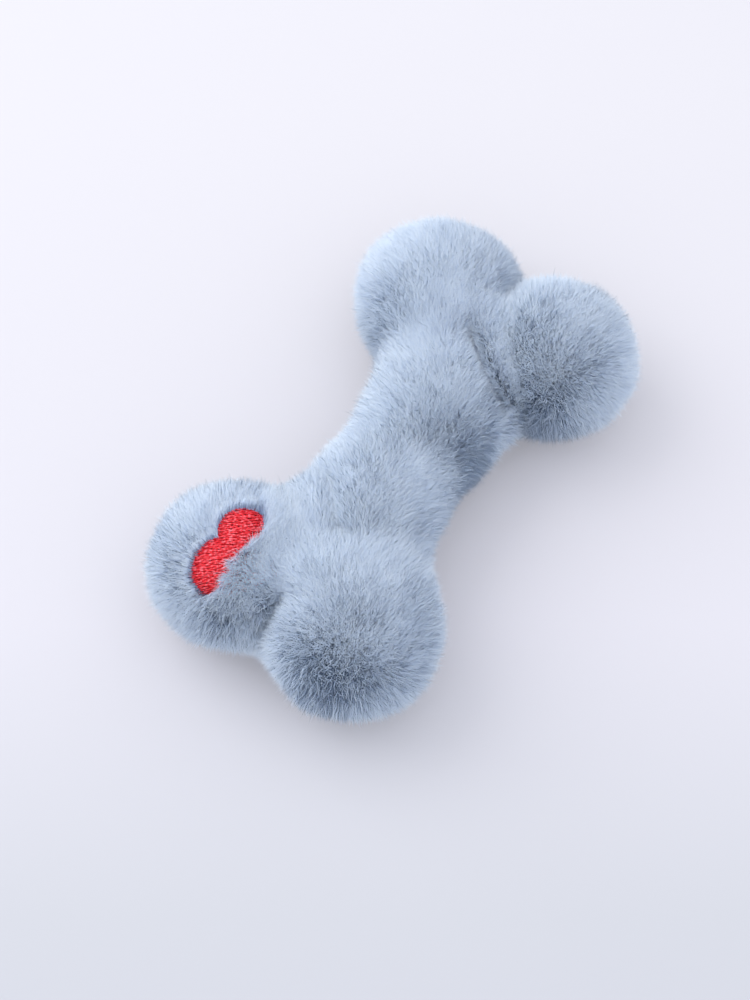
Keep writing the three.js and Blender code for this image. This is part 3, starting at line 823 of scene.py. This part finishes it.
fills = []
for end in ENDS:
    for hand in ("left", "right"):
        fills.append((f"lobe_fill_{end}_{hand}", f"stuffing_{end}_{hand}", [], None))
fills.append(("shaft_fill_lower", "stuffing_under_squeaker", [], None))
for end, to_x in ENDS.items():
    planes = [(MIDDLE, (to_x, 0, 0))]
    fills.append(("shaft_fill_upper", f"stuffing_over_squeaker_{end}", planes, to_x))
fill_chance = np.random.default_rng(FIBRE_SEED)
for node, name, planes, dips_towards in fills:
    body = lumpy_wad(name, node, planes)
    fibres = loose_fibres(f"{name}_fibres", body, fill_chance)
    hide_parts(node)
    for piece in (body, fibres):
        if dips_towards:
            dips(piece)
        else:
            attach(piece, "toy")


# Pile. Long soft acrylic fibre, dense enough to hide the cloth. It leans a little away
# from the heart end, stands in small tufts, and is pressed flat under the bone.

STRANDS = 600_000
STRAND_LENGTH = 8.9 * MM  # it leans, so its tip reaches GROUND_DEPTH
STRAND_WIDTH = 0.12 * MM
LENGTH_STRAY_SHARE = 0.13
LENGTH_WAVE_SHARE = 0.08
LENGTH_WAVE = 9 * MM
LENGTH_SEED = 21
ROOT_SINKS = 0.2 * MM
BEND_SHARE = 0.6  # of its length, where a strand bends over
NAP = np.array([0.84, 0.54, 0]) * 0.6  # which way the pile lies, and how far
SWIRL = 0.6
SWIRL_SIZE = 22 * MM
SWIRL_SEEDS = (11, 12, 13)
ROOT_LEAN = 0.1
ROOT_STRAY = 0.08
TIP_LEAN = 0.75
TIP_STRAY = 0.75 / math.sqrt(3)  # on each axis
LOCK_SIZE = 3 * MM
LOCK_PULL = 0.08
TUFT_SIZE = 0.42 * MM
TUFT_PULL = 0.25
PULL_SHARES = (0.5, 1.3)
BEND_PULLED_SHARE = 0.3  # of the pull on the tip
BED_FROM = 0.25 * MM  # how high the pressed strands lie
BED_DEPTH = 0.5 * MM
CREASE_CLIP = 0.4  # how much shorter the pile is in a crease
FULL_CREASE = 5 * MM
HEART_CLIP = 0.4  # and round the heart
HEART_CLIP_REACH = 4 * MM
PILE_PARTING = -1.1 * MM  # the pile crowds in over the edge of the stitches
RAGGED_SIZE = 1.6 * MM
RAGGED_SEED = 41
RAGGED_REACH = 0.7 * MM
TINT_WAVE = 5 * MM
TINT_SEED = 31
TINT_WAVE_SHARE = 0.25
TINT_STRAY = 0.18
DARKEST_TINT = 0.3
TINT_SPREAD = 0.68
# Painted shade: how much darker the strands are made down in the creases
CREASE_PAINTED_SHADE = 0.35
CREASE_SHADE_POWER = 1.5  # a power, so that only its deep part is dark with painted shade
FACES_FLOOR = -0.5  # how far down a strand's root looks there
THINNED_UNDER = 0.4  # share of such strands that are left out
PIECE_TRIANGLES = 190_000
PILE_SEED = 7
# Where hands have stroked the pile: a place, how far it reaches, how strongly the pile
# lies away from it, and which way it lies besides
COMBED = (
    ((HEART_X, HEART_Y + 1 * MM, SEAM_Z + 16 * MM), 20 * MM, 0.8, (0, 0, 0)),
    ((HEART_X, HEART_Y - 13 * MM, SEAM_Z + 12 * MM), 12 * MM, 0.0, (0.1, 1.2, 0)),
)
# The lower edge of what shows of the heart, in mm from its middle
HEART_SHOWS_FROM = (
    (-16, 6), (-14.4, 2.1), (-11.2, 0.3), (-8.5, 1.3), (-6.8, 0.2), (-5.8, 1.8), (-4.8, 2),
    (-4, 0.2), (-1.4, 1.3), (1.5, -0.6), (6.1, -1.7), (9.7, -0.6), (14, 2.5), (16, 6.2),
)
# Where the pile stands on end, all one way: places in mm, how far each reaches, how surely
STANDING = (
    ((49, -27, 37), 10, 0.48), ((44, -3, 38), 6, 0.5), ((33, -17, 33), 6, 0.5),
    ((34, -5, 36), 7, 0.3), ((26, -15, 34), 8, 0.3), ((8, -11, 36), 13, 0.3),
    ((-33, -8, 38), 12, 0.5), ((-65, -26, 41), 10, 0.55), ((-80, -29, 32), 7, 0.3),
    ((-79, 13, 32), 9, 0.4),
)
STANDS_TOWARDS = np.array([-0.42, -0.3, 0.86])


def nearness(places, centre, reach):
    """From 1 at the centre down to 0 past its reach."""
    return np.exp(-((places - centre) ** 2).sum(1) / reach ** 2)[:, None]


def overgrown(places):
    """Where the pile works up through the stitches and covers the heart's point."""
    flat = places * np.array([1, 1, 0])
    across, lowest = np.array(HEART_SHOWS_FROM).T * MM
    edge = np.interp(places[:, 0] - HEART_X, across, lowest)
    return places[:, 1] - HEART_Y < edge + RAGGED_REACH * waves(flat, RAGGED_SIZE, RAGGED_SEED)


def combed(root, normal):
    """Which way the pile lies along the cloth, as a part of each strand's direction."""
    comb = NAP + SWIRL * np.stack([waves(root, SWIRL_SIZE, seed) for seed in SWIRL_SEEDS], 1)
    for centre, reach, push, towards in COMBED:
        near = nearness(root, np.array(centre), reach)
        away = unit(root - np.array(centre)) * push + np.array(towards)
        comb = comb * (1 - near) + away * near
    comb -= normal * (comb * normal).sum(1, keepdims=True)
    return comb / np.maximum(np.linalg.norm(comb, axis=1, keepdims=True), 1)


def strand_lengths(root, chance):
    stray = chance.normal(0, LENGTH_STRAY_SHARE, len(root))
    wave = LENGTH_WAVE_SHARE * waves(root, LENGTH_WAVE, LENGTH_SEED)
    length = STRAND_LENGTH * (1 + wave + stray)
    length *= 1 - CREASE_CLIP * np.minimum(creased(root) / FULL_CREASE, 1)
    from_heart = from_way(root, heart_outline()) + SEAM_Z * (root[:, 2] < SEAM_Z)
    from_heart += SEAM_Z * overgrown(root)
    return length * (1 - HEART_CLIP * np.clip(1 - from_heart / HEART_CLIP_REACH, 0, 1))


def strand_paths(root, normal, chance):
    """The root, middle and tip of each strand, before it joins its tuft."""
    comb = combed(root, normal)
    stray = TIP_STRAY
    for centre, reach, surely in STANDING:
        near = nearness(root, np.array(centre) * MM, reach * MM) * surely
        comb = comb * (1 - near)
        stray = stray * (1 - near / 2)
        normal = unit(normal * (1 - near / 2) + unit(STANDS_TOWARDS) * near / 2)
    length = strand_lengths(root, chance)
    lower = unit(normal + comb * ROOT_LEAN + chance.normal(0, ROOT_STRAY, root.shape))
    upper = unit(normal + comb * TIP_LEAN + chance.normal(0, 1, root.shape) * stray)
    bend = root + lower * (length * BEND_SHARE)[:, None]
    tip = bend + upper * (length * (1 - BEND_SHARE))[:, None]
    return np.stack([root - normal * ROOT_SINKS, bend, tip], 1)


def gather(paths, root, size, pull, chance):
    """Draws the strands' tips towards the nearest tuft's own strand."""
    count = int(skin_area / size ** 2)
    leaders = chance.choice(len(root), min(count, len(root)), replace=False)
    tree = KDTree(len(leaders))
    for k, leader in enumerate(leaders):
        tree.insert(root[leader], k)
    tree.balance()
    nearest = leaders[np.array([tree.find(place)[1] for place in root])]
    pulled_shares = np.array([0, BEND_PULLED_SHARE, 1])[None, :, None]
    amount = pull * chance.uniform(*PULL_SHARES, (len(root), 1, 1)) * pulled_shares
    return paths + (paths[nearest] - paths) * amount


def press_flat(paths, chance):
    """The floor holds the lowest strands up."""
    bed = BED_FROM + chance.uniform(0, BED_DEPTH, (len(paths), 1))
    paths[:, :, 2] = np.maximum(paths[:, :, 2], bed)
    return paths


def tints(root, chance):
    """How light each strand is: a random tone, with painted shade down in the creases."""
    tint = 0.5 + TINT_WAVE_SHARE * waves(root, TINT_WAVE, TINT_SEED)
    tint += chance.normal(0, TINT_STRAY, len(root))
    # painted shade, deepest in a crease's deep part
    shaded = np.minimum(creased(root) / FULL_CREASE, 1) ** CREASE_SHADE_POWER
    return DARKEST_TINT + TINT_SPREAD * np.clip(tint, 0, 1) - CREASE_PAINTED_SHADE * shaded


pile_finish = Finish("pile", roughness=0.6)
pile_finish.shader.inputs["Sheen Weight"].default_value = 0.35
pile_finish.shader.inputs["Sheen Roughness"].default_value = 0.5
pile_finish.shader.inputs["Sheen Tint"].default_value = linear(225, 238, 255)
along_strand, strand_light = strand_shares(pile_finish)
# Each strand is darker and bluer towards its root: painted shade deep in the pile.
root_shaded_colour = pile_finish.ramp(
    along_strand,
    (0.0, linear(150, 182, 236)),
    (0.45, linear(213, 231, 254)),
    (0.8, linear(230, 243, 255)),
    (1.0, linear(240, 248, 255)),
)
# Below 0.3 the tint is painted shade in the creases; from 0.3 up it is the strands' own random
# tone.
tint_and_crease_shade = pile_finish.ramp(
    strand_light,
    (0.0, linear(140, 152, 178)),
    (0.3, linear(230, 234, 240)),
    (1.0, linear(255, 255, 255)),
)
pile_finish.link(pile_finish.mix(1.0, root_shaded_colour, tint_and_crease_shade, "MULTIPLY"), "Base Color")

skin_area = sum(face.area for face in skin.data.polygons)
chance = np.random.default_rng(PILE_SEED)
root, normal = sample_skin(skin.data, STRANDS, chance)
clipped = inside(heart_outline(PILE_PARTING), root) & (root[:, 2] > SEAM_Z) & ~overgrown(root)
hidden = (normal[:, 2] < FACES_FLOOR) & (chance.random(len(root)) < THINNED_UNDER)
root, normal = root[~(clipped | hidden)], normal[~(clipped | hidden)]
paths = strand_paths(root, normal, chance)
paths = gather(paths, root, LOCK_SIZE, LOCK_PULL, chance)
paths = gather(paths, root, TUFT_SIZE, TUFT_PULL, chance)
paths = press_flat(paths, chance)
tint = tints(root, chance)

for side, to_z in (("top", 1), ("bottom", -1)):
    for end, to_x in ENDS.items():
        mine = np.flatnonzero(((root[:, 2] - SEAM_Z) * to_z >= 0) & (root[:, 0] * to_x >= 0))
        mine = mine[np.argsort(root[mine, 0])]
        parts = math.ceil(len(mine) * 3 / PIECE_TRIANGLES)
        for number, chosen in enumerate(np.array_split(mine, parts), 1):
            name = f"{side}_pile_{end}_{number}"
            pile = ribbon_mesh(
                name, paths[chosen], STRAND_WIDTH, normal[chosen], tint[chosen], chance
            )
            pile.data.materials.append(pile_finish.material)
            if side == "top":
                dips(pile)
            else:
                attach(pile, "toy")

bpy.data.objects.remove(skin)


# Floor and light. A pale table top under a large soft light from the picture's upper
# left, with a weak fill from the right, in a white room.

FLOOR_REACH = 3
FLOOR_SHADES_FROM = -0.2  # up the picture, in metres from the bone
FLOOR_SHADES_TO = 0.16
SHADOW_LIFT = 0.2  # share of the floor's brightness that its shadows keep, through a painted glow
LIT_LEVEL = 1.37  # how bright the lamps make a white floor
LAMP_SIZE = 1.4
# Where the lamps hang, in metres: along the picture's right, up it, and above the floor
KEY_OFFSET = (-1, 0.5, 1)
FILL_OFFSET = (0.5, -0.7, 1.2)
KEY_WATTS = 10.6
KEY_COLOUR = (1, 0.985, 0.965)
FILL_WATTS = 1.7
FILL_COLOUR = (0.95, 0.97, 1)
ROOM_COLOUR = (0.92, 0.935, 1.0, 1)
ROOM_STRENGTH = 1.14
ROOM_SEEN = linear(240, 241, 250)  # by the camera, and in gloss

picture_right = Vector((math.cos(CAMERA_AZIMUTH), math.sin(CAMERA_AZIMUTH), 0))
picture_up = Vector((-to_camera.x, -to_camera.y, 0)).normalized()  # along the floor


def seen_plainly(tree):
    """Which rays see the pale room as it is: the camera's, and those in gloss and glass."""
    rays = tree.nodes.new("ShaderNodeLightPath").outputs
    seen = rays["Is Camera Ray"]
    for kind in ("Is Glossy Ray", "Is Transmission Ray"):
        either = tree.nodes.new("ShaderNodeMath")
        either.operation = "MAXIMUM"
        tree.links.new(seen, either.inputs[0])
        tree.links.new(rays[kind], either.inputs[1])
        seen = either.outputs[0]
    return seen


floor_finish = Finish("table_top", roughness=0.9)
to_product = {0: floor_finish.place(), 1: picture_up}
up_floor = floor_finish.add("VectorMath", to_product, operation="DOT_PRODUCT").outputs["Value"]
shade_range = {"From Min": FLOOR_SHADES_FROM, "From Max": FLOOR_SHADES_TO}
shade = floor_finish.add("MapRange", {"Value": up_floor, **shade_range})
# Painted falloff of light: the floor is darker towards the camera and lighter up the picture.
floor_falloff_colour = floor_finish.ramp(
    shade.outputs[0],
    (0.0, linear(191, 193, 200)),
    (0.14, linear(194, 196, 202)),
    (0.42, linear(209, 208, 215)),
    (1.0, linear(212, 211, 216)),
)
# For the camera and in gloss the floor's colour is dimmed and it glows instead: painted light that
# lifts its shadows.
seen = seen_plainly(floor_finish.tree)
dimmed = floor_finish.mix(1.0, floor_falloff_colour, (*[1 - SHADOW_LIFT] * 3, 1), "MULTIPLY")
floor_finish.link(floor_finish.mix(seen, floor_falloff_colour, dimmed), "Base Color")
floor_finish.link(floor_falloff_colour, "Emission Color")
shadow_glow = floor_finish.calculate("MULTIPLY", seen, SHADOW_LIFT * LIT_LEVEL)
floor_finish.link(shadow_glow, "Emission Strength")

floor_mesh = bpy.data.meshes.new("floor")
corner_signs = ((-1, -1), (1, -1), (1, 1), (-1, 1))
floor_corners = [(x * FLOOR_REACH, y * FLOOR_REACH, 0) for x, y in corner_signs]
floor_mesh.from_pydata(floor_corners, [], [(0, 1, 2, 3)])
floor_mesh.materials.append(floor_finish.material)
placed("floor", floor_mesh)


def soft_light(name, offset, watts, colour):
    """A square lamp that faces the bone."""
    right, up, above = offset
    place = picture_right * right + picture_up * up + Vector((0, 0, above))
    data = bpy.data.lights.new(name, "AREA")
    data.size = LAMP_SIZE
    data.energy = watts
    data.color = colour
    lamp = placed(name, data)
    lamp.location = place
    lamp.rotation_mode = "QUATERNION"
    lamp.rotation_quaternion = place.to_track_quat("Z", "Y")


soft_light("key", KEY_OFFSET, KEY_WATTS, KEY_COLOUR)
soft_light("fill", FILL_OFFSET, FILL_WATTS, FILL_COLOUR)

world = bpy.data.worlds.new("room")
bpy.context.scene.world = world
world.use_nodes = True
room = world.node_tree
background = room.nodes["Background"]
background.inputs["Color"].default_value = ROOM_COLOUR
background.inputs["Strength"].default_value = ROOM_STRENGTH
white = room.nodes.new("ShaderNodeBackground")
white.inputs["Color"].default_value = ROOM_SEEN
chooser = room.nodes.new("ShaderNodeMixShader")
room.links.new(seen_plainly(room), chooser.inputs["Fac"])
room.links.new(background.outputs["Background"], chooser.inputs[1])
room.links.new(white.outputs["Background"], chooser.inputs[2])
room.links.new(chooser.outputs["Shader"], room.nodes["World Output"].inputs["Surface"])
bpy.context.scene.view_settings.view_transform = "Standard"
